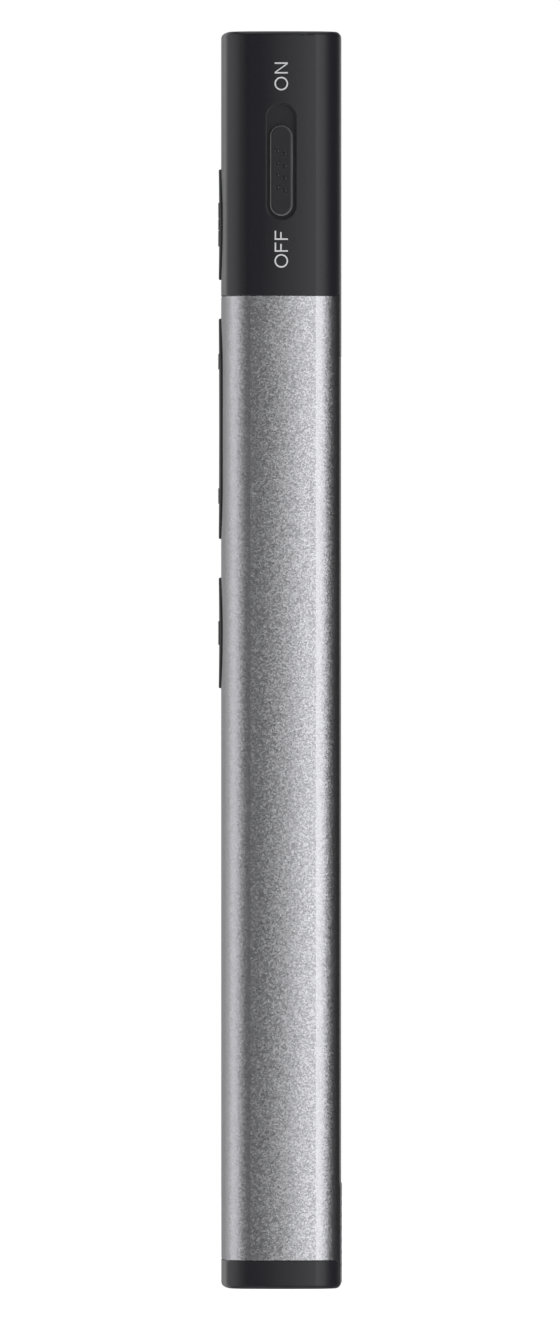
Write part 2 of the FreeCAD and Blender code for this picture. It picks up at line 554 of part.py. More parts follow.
# ---------------------------------------------------------------- keys
def key_top(column, z, half_length):
    """Trims a key's column to a face that is crowned across and hollowed along its length."""
    hollow_radius = half_length ** 2 / (2 * KEY_DISH)
    middle_y = -DEPTH / 2 - KEY_RISE + KEY_DISH
    sweep = Part.makeTorus(hollow_radius + FRONT_RADIUS, FRONT_RADIUS, V(0, middle_y - hollow_radius, z), V(1, 0, 0))
    top = column.common(sweep)
    rim = [e for e in top.Edges if e.BoundBox.YMax < front_face_y(KEY_RADIUS)]
    return top.makeFillet(KEY_EDGE_FILLET, rim)


def mark_column(shape):
    """Raised symbol, standing a little above the key's hollow."""
    return shape.common(prism(KEY_DISH - KEY_RISE - KEY_MARK_RISE, BAY_TOP, LENGTH))


def bar_y(length, width, x, z, turn):
    """Bar seen from the front, turned about its middle, reaching from inside the key out past its face."""
    bar = box(-width / 2, width / 2, -FAR, -DEPTH / 2 + 0.6, -length / 2, length / 2)
    bar.rotate(V(0, 0, 0), V(0, -1, 0), turn)
    bar.translate(V(x, 0, z))
    return bar


def laser_mark(z):
    """Burst of rays around a dot."""
    rays, inner, outer, width = 8, 1.15, 2.4, 0.36
    shapes = [rod_y(0.62, -FAR, -DEPTH / 2 + 0.6, 0, z)]
    middle = (inner + outer) / 2
    for i in range(rays):
        turn = 360.0 / rays * i
        a = math.radians(turn)
        shapes.append(bar_y(outer - inner, width, middle * math.sin(a), z + middle * math.cos(a), turn))
    return shapes


def arrow_mark(z, toward):
    """Chevron that points to the laser end (1) or to the tail (-1)."""
    length, width, lean = 2.05, 0.42, 48.0
    x = length / 2 * math.sin(math.radians(lean)) - 0.1
    return [bar_y(length, width, s * x, z, -s * toward * lean) for s in (1, -1)]


def screen_mark(z):
    """Outline of a screen."""
    half_w, half_h, width = 1.75, 1.3, 0.36
    frame = box(-half_w, half_w, -FAR, -DEPTH / 2 + 0.6, z - half_h, z + half_h)
    inside = box(-half_w + width, half_w - width, -FAR - 1, FAR, z - half_h + width, z + half_h - width)
    return [frame.cut(inside)]


def round_key(z, wall, marks):
    """Round key: cap, flange behind the wall, and the nib that reaches the switch dome."""
    flange_front = front_face_y(FLANGE_RADIUS, wall) + FIT
    flange_back = flange_front + KEY_FLANGE_THICK
    column = rod_y(KEY_RADIUS, -FAR / 2, flange_back - KEY_FLANGE_THICK / 2, 0, z)
    column.rotate(V(0, 0, z), V(0, 1, 0), 45)
    top = key_top(column, z, KEY_RADIUS)
    flange = rod_y(FLANGE_RADIUS, flange_front, flange_back, 0, z)
    nib = rod_y(KEY_NIB_RADIUS, flange_front + 0.1, DOME_FRONT - KEY_TRAVEL - KEY_REST_GAP, 0, z)
    return fuse_all([top, flange, nib] + [mark_column(m) for m in marks])


PIVOT_RADIUS = 0.5
PIVOT_Y = BOARD_FRONT - PIVOT_RADIUS - KEY_REST_GAP


def page_rocker():
    flange_front = front_face_y(FLANGE_RADIUS, SLEEVE_WALL) + ROCKER_CLEARANCE
    flange_back = flange_front + ROCKER_FLANGE_THICK
    column_back = flange_back - ROCKER_FLANGE_THICK / 2
    column = stadium_y(KEY_RADIUS, ROCKER_HALF_LENGTH, -FAR / 2, column_back, 0, ROCKER_Z)
    top = key_top(column, ROCKER_Z, ROCKER_HALF_LENGTH)
    flange = stadium_y(FLANGE_RADIUS, ROCKER_HALF_LENGTH + KEY_FLANGE, flange_front, flange_back, 0, ROCKER_Z)
    half = KEY_RADIUS - 1
    pivot = rod_x(PIVOT_RADIUS, -half, half, PIVOT_Y, ROCKER_Z)
    web = box(-half, half, flange_front + 0.1, PIVOT_Y, ROCKER_Z - 0.35, ROCKER_Z + 0.35)
    nib_end = DOME_FRONT - DOME_OFFSET * TILT - KEY_REST_GAP
    nibs = [rod_y(KEY_NIB_RADIUS, flange_front + 0.1, nib_end, 0, ROCKER_Z + s * DOME_OFFSET) for s in (1, -1)]
    arrow_z = ROCKER_HALF_LENGTH - 4.75
    marks = arrow_mark(ROCKER_Z + arrow_z, 1) + arrow_mark(ROCKER_Z - arrow_z, -1)
    return fuse_all([top, flange, pivot, web] + nibs + [mark_column(m) for m in marks])


def switch_dome(z):
    """Snap dome on the board under a key."""
    ball = (DOME_RADIUS ** 2 + DOME_RISE ** 2) / (2 * DOME_RISE)
    centre = V(0, BOARD_FRONT + ball - DOME_RISE, z)
    cap = Part.makeSphere(ball, centre).common(rod_y(DOME_RADIUS + 1, -FAR, BOARD_FRONT, 0, z))
    return cap.cut(Part.makeSphere(ball, centre + V(0, DOME_SHEET, 0)))


# ---------------------------------------------------------------- power switch
CLIP_X = (SIDE_X - 2.2, SIDE_X - CAP_WALL - 0.12)
FORK_X = (SIDE_X - 3.6, SIDE_X - 2.2)
LEVER_X = (SIDE_X - 4.9, SIDE_X - 2.4)
SWITCH_BODY_X = (SIDE_X - 7.6, SIDE_X - 4.1)
SWITCH_BODY_BACK = SWITCH_Y + 1.5
SWITCH_BODY_HALF_Z = 4.5
LEVER_HALF_Y = 0.6
LEVER_HALF_Z = 0.7


def slider_knob():
    x_top = SIDE_X + KNOB_RISE
    knob = stadium_x(KNOB_HALF_WIDTH, KNOB_HALF_LENGTH, RECESS_FLOOR_X + FIT, x_top, SWITCH_Y, KNOB_OFF_Z)
    knob = knob.makeFillet(KNOB_FILLET, edges_at(knob, "X", x_top))
    stem = box(CLIP_X[0], RECESS_FLOOR_X + 0.3, SWITCH_Y - STEM_HALF_Y, SWITCH_Y + STEM_HALF_Y,
               KNOB_OFF_Z - STEM_HALF_Z, KNOB_OFF_Z + STEM_HALF_Z)
    ball = (GRIP_DOME_RADIUS ** 2 + GRIP_DOME_RISE ** 2) / (2 * GRIP_DOME_RISE)
    domes = []
    for row in range(4):
        for side in (-1, 1):
            y = SWITCH_Y + side * GRIP_COLUMN
            z = KNOB_OFF_Z + (1.5 - row) * GRIP_PITCH - side * GRIP_STAGGER / 2
            domes.append(Part.makeSphere(ball, V(x_top - ball + GRIP_DOME_RISE, y, z)))
    tops = Part.makeCompound(domes).common(box(x_top - 0.1, FAR, -FAR, FAR, 0, LENGTH))
    return fuse_all([knob, stem] + tops.Solids)


def slider_clip():
    """Plate that holds the knob from inside, with a fork around the switch lever."""
    plate = box(*CLIP_X, SWITCH_Y - 1.5, SWITCH_Y + 1.5, KNOB_OFF_Z - 2.6, KNOB_OFF_Z + 2.6)
    stem_hole = box(CLIP_X[0] - 1, FAR, SWITCH_Y - STEM_HALF_Y, SWITCH_Y + STEM_HALF_Y,
                    KNOB_OFF_Z - STEM_HALF_Z, KNOB_OFF_Z + STEM_HALF_Z)
    fork = box(*FORK_X, SWITCH_Y - 1.3, SWITCH_Y + 1.3, KNOB_OFF_Z - 1.6, KNOB_OFF_Z + 1.6)
    jaw = box(FORK_X[0] - 1, LEVER_X[1], SWITCH_Y - 2, SWITCH_Y + 2,
              KNOB_OFF_Z - LEVER_HALF_Z, KNOB_OFF_Z + LEVER_HALF_Z)
    return plate.cut(stem_hole).fuse(fork.cut(jaw)).removeSplitter()


def switch_lever():
    return box(*LEVER_X, SWITCH_Y - LEVER_HALF_Y, SWITCH_Y + LEVER_HALF_Y,
               KNOB_OFF_Z - LEVER_HALF_Z, KNOB_OFF_Z + LEVER_HALF_Z)


def switch_body():
    low, high = SWITCH_Z - SWITCH_BODY_HALF_Z, SWITCH_Z + SWITCH_BODY_HALF_Z
    body = box(*SWITCH_BODY_X, BOARD_BACK, SWITCH_BODY_BACK, low, high)
    body = body.makeFillet(0.25, edges_at(body, "Y", SWITCH_BODY_BACK))
    travel = SWITCH_TRAVEL / 2 + LEVER_HALF_Z + FIT
    mouth = box(LEVER_X[0] - 0.1, FAR, SWITCH_Y - LEVER_HALF_Y - FIT, SWITCH_Y + LEVER_HALF_Y + FIT,
                SWITCH_Z - travel, SWITCH_Z + travel)
    return body.cut(mouth)


# ---------------------------------------------------------------- circuit board and what is on it
def circuit_board():
    board = box(-BOARD_HALF_WIDTH, BOARD_HALF_WIDTH, BOARD_FRONT, BOARD_BACK, BOARD_BOTTOM, BOARD_TOP)
    board = board.makeFillet(1.2, edges_along(board, "Y"))
    depth_left = BOARD_DEPTH - SPIGOT_INNER - 0.2
    crown_x = math.sqrt(depth_left * (2 * (FRONT_RADIUS - SPIGOT_INNER) - depth_left))
    notch_x = min(SIDE_X - SPIGOT_INNER - 1.6, crown_x)
    ring_notch = mirrored(box(notch_x, FAR, -FAR, 0, SPIGOT_BOTTOM - 0.6, HEAD_Z + 2.1))
    holes = [rod_y(BOARD_SCREW_RADIUS + 0.1, -FAR, 0, x, z) for x, z in BOARD_SCREWS]
    return cut_all(board, [ring_notch] + holes)


def board_screws():
    head_radius, head_high, recess = 1.1, 0.6, 0.3
    top = BOARD_FRONT - head_high
    screws = []
    for x, z in BOARD_SCREWS:
        head = rod_y(head_radius, top, BOARD_FRONT, x, z)
        head = head.makeFillet(0.2, edges_at(head, "Y", top))
        shank = rod_y(BOARD_SCREW_RADIUS, BOARD_FRONT, BOARD_FRONT + BOARD_SCREW_LENGTH, x, z)
        slots = [box(x - a, x + a, top - 1, top + recess, z - b, z + b) for a, b in ((0.7, 0.13), (0.13, 0.7))]
        screws.append(cut_all(head.fuse(shank).removeSplitter(), slots))
    return Part.makeCompound(screws)


def on_board(x, z, width, high, thick, rounding=0.0):
    """Component on the back of the board; x and z are its corner nearest the left edge and the tail."""
    body = box(x, x + width, BOARD_BACK, BOARD_BACK + thick, z, z + high)
    if rounding:
        body = body.makeFillet(rounding, edges_at(body, "Y", BOARD_BACK + thick))
    return body


LEFT_EDGE = -BOARD_HALF_WIDTH + 1.6


def radio_chip():
    z = SWITCH_Z - 3.3
    return on_board(LEFT_EDGE, z, 4.0, 4.0, 0.9).cut(rod_y(0.3, BOARD_BACK + 0.8, FAR, LEFT_EDGE + 0.6, z + 3.4))


def crystal():
    return on_board(LEFT_EDGE + 0.4, SWITCH_Z - 7.5, 3.2, 2.5, 0.7, 0.2)


def boost_coil():
    return on_board(LEFT_EDGE + 0.2, SWITCH_Z - 12.1, 3.2, 3.2, 1.4, 0.3)


def chip_antenna():
    return on_board(LEFT_EDGE - 0.4, BOARD_TOP - 2.8, 7.0, 2.0, 0.9)


def board_passives():
    """Ceramic capacitors and resistors beside the chip, the crystal and the coil."""
    beside = [(4.7, -2.5), (4.7, -4.2), (4.7, -6.9), (4.7, -10.9), (4.7, -12.4)]
    above = [(0.0, 5.4), (1.5, 5.4), (3.0, 5.4)]
    places = [(LEFT_EDGE + x, SWITCH_Z + z) for x, z in beside + above]
    places += [(-LEFT_EDGE - x, SWITCH_Z - 9.1) for x in (1.4, 3.0)]
    return Part.makeCompound([on_board(x, z, 0.6, 1.1, 0.45) for x, z in places])


def status_led():
    return box(-0.8, 0.8, BOARD_FRONT - 0.6, BOARD_FRONT, LED_Z - 0.5, LED_Z + 0.5)


def light_pipe():
    back = BOARD_FRONT - 0.65
    pipe = rod_y(LED_PIPE_RADIUS, -FAR, back, 0, LED_Z).common(prism(0, HEAD_Z, LENGTH - 1))
    flange = rod_y(LED_FLANGE_RADIUS, front_face_y(LED_FLANGE_RADIUS, CAP_WALL) + 0.01, back, 0, LED_Z)
    return pipe.fuse(flange).removeSplitter()


# ---------------------------------------------------------------- laser
LENS_RADIUS = 2.3
LENS_BALL = 4.2
LENS_SEAT = BARREL_TOP - 2.2
LENS_TOP = BARREL_TOP - 0.6
DIODE_RADIUS = 1.65
LEAD_TOP = BARREL_BOTTOM - 0.8


def laser_barrel():
    barrel = rod_z(BARREL_RADIUS, BARREL_BOTTOM, BARREL_TOP, 0, LASER_Y)
    lens_seat = rod_z(LENS_RADIUS, LENS_SEAT, LENGTH, 0, LASER_Y)
    bore = rod_z(DIODE_RADIUS, BARREL_BOTTOM - 1, LENGTH, 0, LASER_Y)
    groove = rod_z(BARREL_RADIUS + 1, BARREL_TOP - 4.4, BARREL_TOP - 3.8, 0, LASER_Y)
    groove = groove.cut(rod_z(BARREL_RADIUS - 0.35, 0, LENGTH, 0, LASER_Y))
    return cut_all(barrel, [lens_seat, bore, groove])


def laser_lens():
    disc = rod_z(LENS_RADIUS, LENS_SEAT, LENS_TOP, 0, LASER_Y)
    return disc.common(Part.makeSphere(LENS_BALL, V(0, LASER_Y, LENS_TOP - LENS_BALL), V(0, 1, 0)))


def laser_diode():
    can = rod_z(DIODE_RADIUS, BARREL_BOTTOM, BARREL_BOTTOM + 2.6, 0, LASER_Y)
    board = rod_z(BARREL_RADIUS - 0.2, LEAD_TOP, BARREL_BOTTOM, 0, LASER_Y)
    return can.fuse(board).removeSplitter()


def laser_window():
    top = LENGTH - CAP_END_WALL
    return rod_z(BEZEL_RADIUS, top - WINDOW_THICK, top, 0, LASER_Y)


def laser_bezel():
    top = LENGTH + 0.03
    ring = rod_z(BEZEL_RADIUS, LENGTH - BEZEL_DEPTH, top, 0, LASER_Y)
    ring = ring.cut(rod_z(APERTURE_RADIUS, 0, LENGTH + 1, 0, LASER_Y))
    mouth = [e for e in edges_at(ring, "Z", top) if e.BoundBox.XLength < 2 * APERTURE_RADIUS + 0.2]
    return ring.makeChamfer(0.35, mouth)


def bent_wire(points, bend, radius):
    """Round wire along straight runs joined by tangent arcs."""
    edges = []
    at = points[0]
    for before, corner, after in zip(points, points[1:], points[2:]):
        a, b = (before - corner).normalize(), (after - corner).normalize()
        half = a.getAngle(b) / 2
        back = bend / math.tan(half)
        start, end = corner + a * back, corner + b * back
        middle = (a + b).normalize()
        centre = corner + middle * (bend / math.sin(half))
        edges.append(Part.LineSegment(at, start).toShape())
        edges.append(Part.Arc(start, centre - middle * bend, end).toShape())
        at = end
    edges.append(Part.LineSegment(at, points[-1]).toShape())
    along = (points[1] - points[0]).normalize()
    ring = Part.Wire([Part.Circle(points[0], along, radius).toShape()])
    return Part.Wire(edges).makePipeShell([ring], True, False)


def laser_leads():
    """Two short insulated leads from the laser's board to the circuit board."""
    z = LEAD_TOP - LEAD_DROP
    leads = []
    for x in (-1.1, 1.1):
        points = [V(x, LASER_Y, LEAD_TOP), V(x, LASER_Y, z), V(x, BOARD_BACK, z)]
        leads.append(bent_wire(points, 1.5, LEAD_RADIUS))
    return Part.makeCompound(leads)


# ---------------------------------------------------------------- cells and their contacts
def cell_centre_y():
    """The cells lie on the curved floor of their bay."""
    reach = FRONT_RADIUS - CHASSIS_OFFSET - BAY_FLOOR - CELL_RADIUS - FIT
    return -DEPTH / 2 + FRONT_RADIUS - math.sqrt(reach ** 2 - CELL_X ** 2)


CELL_Y = cell_centre_y()
PLATE_HALF = CELL_RADIUS - 0.95


def cell(x, low, nub_up):
    """AAA cell that stands on the height low, with its nub to the laser end or to the tail."""
    high = low + CELL_BODY
    can = rod_z(CELL_RADIUS, low, high, x, CELL_Y)
    can = can.makeFillet(0.35, edges_at(can, "Z", low) + edges_at(can, "Z", high))
    nub_low = high if nub_up else low - CELL_NUB
    nub = rod_z(CELL_NUB_RADIUS, nub_low, nub_low + CELL_NUB, x, CELL_Y)
    return can.fuse(nub).removeSplitter()


def contact_spring(x, low):
    """Coil that fills the space under or over a cell's flat end, from the height low."""
    clear = 0.02
    height = SPRING_LENGTH - 2 * SPRING_WIRE - 2 * clear
    pitch = height / SPRING_TURNS
    helix = Part.makeHelix(pitch, height, SPRING_RADIUS)
    tangent = V(0, 2 * math.pi * SPRING_RADIUS, pitch).normalize()
    ring_wire = Part.Wire([Part.Circle(V(SPRING_RADIUS, 0, 0), tangent, SPRING_WIRE).toShape()])
    coil = Part.Wire(helix.Edges).makePipeShell([ring_wire], True, True)
    return coil.translated(V(x, CELL_Y, low + SPRING_WIRE + clear))


def bridge_plate():
    """Plate at the tail end that joins the two cells."""
    half = CELL_X + PLATE_HALF
    plate = box(-half, half, CELL_Y - PLATE_HALF, CELL_Y + PLATE_HALF, BAY_BOTTOM, BRIDGE_TOP)
    return plate.makeFillet(1.0, edges_along(plate, "Z"))


def upper_plate(x):
    """Contact plate at the laser end of the bay with a tab that lies on the front of the board."""
    front = BOARD_FRONT - 0.3
    plate = box(x - PLATE_HALF, x + PLATE_HALF, front, CELL_Y + PLATE_HALF, UPPER_PLATE, BAY_TOP)
    tab = box(x - 1.2, x + 1.2, front, BOARD_FRONT, UPPER_PLATE, BOARD_BOTTOM + 1.8)
    return plate.fuse(tab).removeSplitter()


# ---------------------------------------------------------------- USB receiver stored behind the board
def receiver_head():
    half_x, half_y = RECEIVER_WIDTH / 2, RECEIVER_THICK / 2
    head = box(-half_x, half_x, RECEIVER_Y - half_y, RECEIVER_Y + half_y, RECEIVER_LOW, PLUG_LOW)
    head = head.makeFillet(1.2, edges_along(head, "Z"))
    return head.makeFillet(0.6, edges_at(head, "Z", RECEIVER_LOW))


def receiver_plug():
    half_x, half_y = PLUG_WIDTH / 2, PLUG_THICK / 2
    y0, y1 = RECEIVER_Y - half_y, RECEIVER_Y + half_y
    shell = box(-half_x, half_x, y0, y1, PLUG_LOW, PLUG_LOW + PLUG_LENGTH)
    inside = box(-half_x + PLUG_WALL, half_x - PLUG_WALL, y0 + PLUG_WALL, y1 - PLUG_WALL, PLUG_LOW + 1, LENGTH)
    windows = [box(x - 0.9, x + 0.9, -FAR, FAR, PLUG_LOW + 5.6, PLUG_LOW + 7.6) for x in (-2.9, 2.9)]
    return cut_all(shell, [inside] + windows)


def receiver_tongue():
    half = PLUG_WIDTH / 2 - PLUG_WALL - 0.1
    y0 = RECEIVER_Y - PLUG_THICK / 2 + PLUG_WALL
    return box(-half, half, y0, y0 + 1.9, PLUG_LOW + 1, PLUG_LOW + PLUG_LENGTH - 0.5)


# ---------------------------------------------------------------- all pieces
print(f"overall {2 * SIDE_X:.3f} x {DEPTH:.3f} x {LENGTH:.3f} mm")
export("body_sleeve", body_sleeve())
export("head_cap", head_cap())
export("tail_cap", tail_cap())
export("tail_screws", tail_screws())
export("battery_cover", battery_cover())
export("cover_foam_pad", cover_foam_pad())
export("chassis", chassis())
export("laser_key", round_key(LASER_KEY_Z, CAP_WALL, laser_mark(LASER_KEY_Z)))
export("page_rocker", page_rocker())
export("blank_key", round_key(BLANK_KEY_Z, SLEEVE_WALL, screen_mark(BLANK_KEY_Z)))
export("laser_switch_dome", switch_dome(LASER_KEY_Z))
export("page_up_switch_dome", switch_dome(ROCKER_Z + DOME_OFFSET))
export("page_down_switch_dome", switch_dome(ROCKER_Z - DOME_OFFSET))
export("blank_switch_dome", switch_dome(BLANK_KEY_Z))
export("slider_knob", slider_knob())
export("slider_clip", slider_clip())
export("power_switch_lever", switch_lever())
export("power_switch_body", switch_body())
export("circuit_board", circuit_board())
export("board_screws", board_screws())
export("radio_chip", radio_chip())
export("crystal", crystal())
export("boost_coil", boost_coil())
export("chip_antenna", chip_antenna())
export("board_passives", board_passives())
export("status_led", status_led())
export("led_light_pipe", light_pipe())
export("laser_barrel", laser_barrel())
export("laser_lens", laser_lens())
export("laser_diode", laser_diode())
export("laser_window", laser_window())
export("laser_bezel", laser_bezel())
export("laser_leads", laser_leads())
export("battery_cell_left", cell(-CELL_X, LEFT_CELL_BOTTOM, True))
export("battery_cell_right", cell(CELL_X, RIGHT_CELL_BOTTOM, False))
export("bridge_contact_plate", bridge_plate())
export("bridge_contact_spring", contact_spring(-CELL_X, BRIDGE_TOP))
export("positive_contact_plate", upper_plate(-CELL_X))
export("negative_contact_plate", upper_plate(CELL_X))
export("negative_contact_spring", contact_spring(CELL_X, UPPER_PLATE - SPRING_LENGTH))
export("usb_receiver_head", receiver_head())
export("usb_receiver_plug", receiver_plug())
export("usb_receiver_tongue", receiver_tongue())
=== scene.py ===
import math
import bpy
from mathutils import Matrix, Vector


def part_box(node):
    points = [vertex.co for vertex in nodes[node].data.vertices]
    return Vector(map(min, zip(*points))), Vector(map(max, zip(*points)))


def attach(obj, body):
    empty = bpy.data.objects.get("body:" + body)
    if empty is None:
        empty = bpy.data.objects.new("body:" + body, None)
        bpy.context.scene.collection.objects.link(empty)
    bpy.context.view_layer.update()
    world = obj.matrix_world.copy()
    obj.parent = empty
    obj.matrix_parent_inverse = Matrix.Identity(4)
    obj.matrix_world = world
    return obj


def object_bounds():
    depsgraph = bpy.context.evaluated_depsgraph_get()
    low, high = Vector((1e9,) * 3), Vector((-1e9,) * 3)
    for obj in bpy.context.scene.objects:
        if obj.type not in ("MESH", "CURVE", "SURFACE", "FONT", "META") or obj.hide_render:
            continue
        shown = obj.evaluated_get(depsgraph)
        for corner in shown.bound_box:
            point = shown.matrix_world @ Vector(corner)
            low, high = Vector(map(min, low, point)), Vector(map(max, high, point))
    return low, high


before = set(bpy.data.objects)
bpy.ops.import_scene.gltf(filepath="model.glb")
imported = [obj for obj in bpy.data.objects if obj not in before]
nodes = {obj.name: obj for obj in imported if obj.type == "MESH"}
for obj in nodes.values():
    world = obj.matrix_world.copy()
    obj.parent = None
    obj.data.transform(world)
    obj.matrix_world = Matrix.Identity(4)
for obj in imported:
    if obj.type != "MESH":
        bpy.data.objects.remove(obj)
design_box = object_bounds()

# --- Body sleeve -------------------------------------------------------------------------------
# One aluminium extrusion, open along the back. It is cut to length, blasted with fine glass
# beads, anodised in silver grey, and its two ends are then cut with a bright chamfer.


def place(tree, kind, wires=None, **settings):
    """Puts a shader node in a tree, with its settings, its values and what feeds it."""
    node = tree.nodes.new("ShaderNode" + kind)
    for name, value in settings.items():
        setattr(node, name, value)
    for socket, value in (wires or {}).items():
        if isinstance(value, bpy.types.NodeSocket):
            tree.links.new(value, node.inputs[socket])
        else:
            node.inputs[socket].default_value = value
    return node


def start_effect(name, takes, gives):
    """A shader node group with named inputs and outputs, ready to be filled."""
    tree = bpy.data.node_groups.new(name, "ShaderNodeTree")
    for label, value in takes.items():
        socket = tree.interface.new_socket(label, in_out="INPUT", socket_type="NodeSocketFloat")
        socket.default_value = value
    for label in gives:
        tree.interface.new_socket(label, in_out="OUTPUT", socket_type="NodeSocketFloat")
    return tree, tree.nodes.new("NodeGroupInput").outputs, tree.nodes.new("NodeGroupOutput").inputs


# Fine grain: what a blasted, spark-eroded or moulded skin looks like close to.
grain_effect, taken, given = start_effect(
    "fine_grain", {"Grains per Metre": 6000.0, "Mottle per Metre": 500.0}, ("Height", "Tone"))
where = place(grain_effect, "TexCoord").outputs["Object"]
pits = place(grain_effect, "TexNoise", {"Vector": where, "Scale": taken["Grains per Metre"],
                                        "Detail": 1.5, "Roughness": 0.6})
flecks = place(grain_effect, "TexVoronoi", {"Vector": where, "Scale": taken["Grains per Metre"]})
mottle = place(grain_effect, "TexNoise", {"Vector": where, "Scale": taken["Mottle per Metre"],
                                          "Detail": 2.0})
fleck_tone = place(grain_effect, "SeparateColor", {"Color": flecks.outputs["Color"]})
tone = place(grain_effect, "Mix", {"Factor": 0.35, "A": fleck_tone.outputs["Red"],
                                   "B": mottle.outputs["Fac"]})
height = place(grain_effect, "Mix", {"Factor": 0.5, "A": pits.outputs["Fac"],
                                     "B": fleck_tone.outputs["Green"]})
grain_effect.links.new(height.outputs["Result"], given["Height"])
grain_effect.links.new(tone.outputs["Result"], given["Tone"])

# Handling: soft patches where fingers have left the skin a little smoother.
handling_effect, taken, given = start_effect("handling_marks", {"Patches per Metre": 60.0}, ("Mask",))
where = place(handling_effect, "TexCoord").outputs["Object"]
patches = place(handling_effect, "TexNoise", {"Vector": where, "Scale": taken["Patches per Metre"],
                                              "Detail": 4.0, "Roughness": 0.55, "Distortion": 0.6})
worn = place(handling_effect, "MapRange", {"Value": patches.outputs["Fac"], "From Min": 0.38,
                                           "From Max": 0.72})
handling_effect.links.new(worn.outputs["Result"], given["Mask"])


def use_effect(tree, effect, **values):
    """Places an effect in a material with its own values, and gives its outputs."""
    node = tree.nodes.new("ShaderNodeGroup")
    node.node_tree = effect
    for label, value in values.items():
        node.inputs[label.replace("_", " ")].default_value = value
    return node.outputs


def finish(name, pale, deep, rough, worn_rough, grains=6000.0, depth=0.0, metal=0.0):
    """A surface of one stuff: two tones, roughness fresh and handled, and grain with its depth in metres."""
    material = bpy.data.materials.new(name)
    material.use_nodes = True
    tree = material.node_tree
    shader = tree.nodes["Principled BSDF"]
    grain = use_effect(tree, grain_effect, Grains_per_Metre=grains, Mottle_per_Metre=grains / 12)
    marks = use_effect(tree, handling_effect)
    colour = place(tree, "Mix", {"Factor": grain["Tone"], "A": (*deep, 1.0), "B": (*pale, 1.0)},
                   data_type="RGBA")
    sheen = place(tree, "MapRange", {"Value": marks["Mask"], "To Min": rough, "To Max": worn_rough})
    tree.links.new(colour.outputs["Result"], shader.inputs["Base Color"])
    tree.links.new(sheen.outputs["Result"], shader.inputs["Roughness"])
    if depth:
        bump = place(tree, "Bump", {"Height": grain["Height"], "Distance": depth})
        tree.links.new(bump.outputs["Normal"], shader.inputs["Normal"])
    shader.inputs["Metallic"].default_value = metal
    return material, tree, shader


def coat(material, *names):
    """Gives CAD nodes their material, in every slot they have."""
    for name in names:
        for slot in nodes[name].material_slots:
            slot.material = material


def feed_colour(tree, shader, mask, colour):
    """Lays one more colour over what the shader has, where the mask is 1."""
    under = shader.inputs["Base Color"].links[0].from_socket
    over = place(tree, "Mix", {"Factor": mask, "A": under, "B": (*colour, 1.0)}, data_type="RGBA")
    tree.links.new(over.outputs["Result"], shader.inputs["Base Color"])


def feed_roughness(tree, shader, mask, rough):
    """Gives the surface another roughness where the mask is 1."""
    under = shader.inputs["Roughness"].links[0].from_socket
    over = place(tree, "Mix", {"Factor": mask, "A": under, "B": rough})
    tree.links.new(over.outputs["Result"], shader.inputs["Roughness"])


# The beads leave small facets that lean every way, so each catches the light on its own.
dents_per_metre = 8000.0
facet_lean = 0.2
aluminium, tree, shader = finish("blasted_aluminium", (0.74, 0.74, 0.77), (0.54, 0.54, 0.57), 0.37, 0.35,
                                 grains=7000.0, metal=1.0)
bead_dents = place(tree, "TexVoronoi", {"Vector": place(tree, "TexCoord").outputs["Object"],
                                        "Scale": dents_per_metre})
aside = place(tree, "VectorMath", {0: bead_dents.outputs["Color"], 1: (0.5, 0.5, 0.5)}, operation="SUBTRACT")
lean = place(tree, "VectorMath", {0: aside.outputs["Vector"], "Scale": facet_lean}, operation="SCALE")
leaning = place(tree, "VectorMath", {0: place(tree, "NewGeometry").outputs["Normal"],
                                     1: lean.outputs["Vector"]}, operation="ADD")
facet = place(tree, "VectorMath", {0: leaning.outputs["Vector"]}, operation="NORMALIZE")
tree.links.new(facet.outputs["Vector"], shader.inputs["Normal"])
facing = place(tree, "SeparateXYZ", {"Vector": place(tree, "NewGeometry").outputs["True Normal"]})
upright = place(tree, "Math", {0: facing.outputs["Z"]}, operation="ABSOLUTE")
cut_edge = place(tree, "MapRange", {"Value": upright.outputs["Value"], "From Min": 0.3, "From Max": 0.6})
feed_colour(tree, shader, cut_edge.outputs["Result"], (0.86, 0.86, 0.88))
feed_roughness(tree, shader, cut_edge.outputs["Result"], 0.22)
coat(aluminium, "body_sleeve")

# --- Chassis -----------------------------------------------------------------------------------
# The frame that slides into the sleeve is moulded in black nylon with glass fibre, which leaves
# a dull skin with short pale fibres. It carries the board in front and holds the cells behind.
nylon, tree, shader = finish("glass_filled_nylon", (0.030, 0.030, 0.032), (0.017, 0.017, 0.019), 0.58, 0.5,
                             grains=4000.0, depth=0.000010)
where = place(tree, "TexCoord").outputs["Object"]
drawn = place(tree, "Mapping", {"Vector": where, "Scale": (1.0, 1.0, 0.18)})
fibres = place(tree, "TexNoise", {"Vector": drawn.outputs["Vector"], "Scale": 2600.0, "Detail": 1.0})
fibre_mask = place(tree, "MapRange", {"Value": fibres.outputs["Fac"], "From Min": 0.62, "From Max": 0.75,
                                      "To Max": 0.35})
feed_colour(tree, shader, fibre_mask.outputs["Result"], (0.11, 0.11, 0.11))
coat(nylon, "chassis", "slider_clip", "power_switch_lever", "usb_receiver_tongue")

